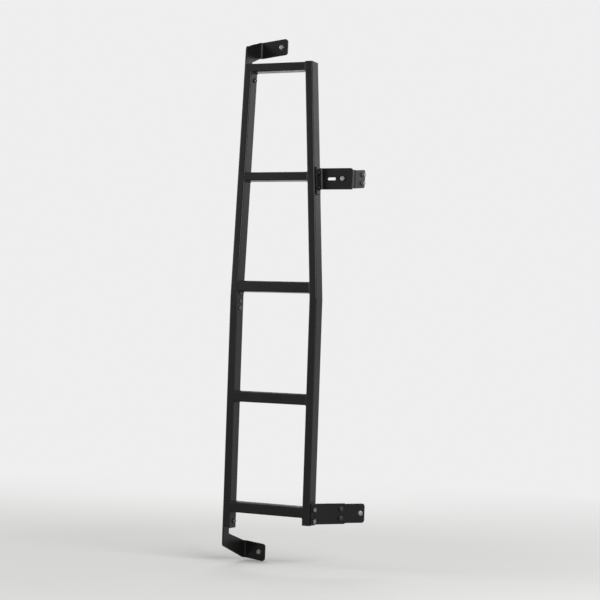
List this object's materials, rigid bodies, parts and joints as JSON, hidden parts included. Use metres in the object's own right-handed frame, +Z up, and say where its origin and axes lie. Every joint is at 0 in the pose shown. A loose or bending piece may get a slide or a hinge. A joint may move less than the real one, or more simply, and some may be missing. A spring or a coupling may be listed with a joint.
{
  "type": "van ladder",
  "caption": "Narrow box-tube ladder for the rear door of a van, with ribbed rungs, a leaning tapered top half, folded door straps and hinge brackets.",
  "frame": {"origin": "on the door face of the bottom strap's foot, 20 mm inboard of the outer side of the left rail", "axes": "+X along the rungs towards the door's hinges, +Y towards the door, +Z up"},
  "size_m": [0.4022, 0.1852, 1.6384],
  "materials": {
    "frame_paint": "satin black powder coat on steel tube",
    "bracket_paint": "satin black powder coat on laser-cut steel plate",
    "cap_plastic": "moulded black end caps",
    "splice_steel": "plain steel bar inside the rails"
  },
  "bodies": {
    "root": {"lower_left_rail": "frame_paint", "lower_right_rail": "frame_paint", "upper_left_rail": "frame_paint", "upper_right_rail": "frame_paint", "left_splice": "splice_steel", "right_splice": "splice_steel", "rung_1": "frame_paint", "rung_2": "frame_paint", "rung_3": "frame_paint", "rung_4": "frame_paint", "rung_5": "frame_paint", "lower_left_cap": "cap_plastic", "lower_right_cap": "cap_plastic", "upper_left_cap": "cap_plastic", "upper_right_cap": "cap_plastic", "bottom_door_strap": "bracket_paint", "top_door_strap": "bracket_paint", "upper_hinge_arm": "bracket_paint", "upper_hinge_angle": "bracket_paint", "lower_hinge_arm": "bracket_paint", "lower_hinge_plate": "bracket_paint"}
  },
  "joints": []
}
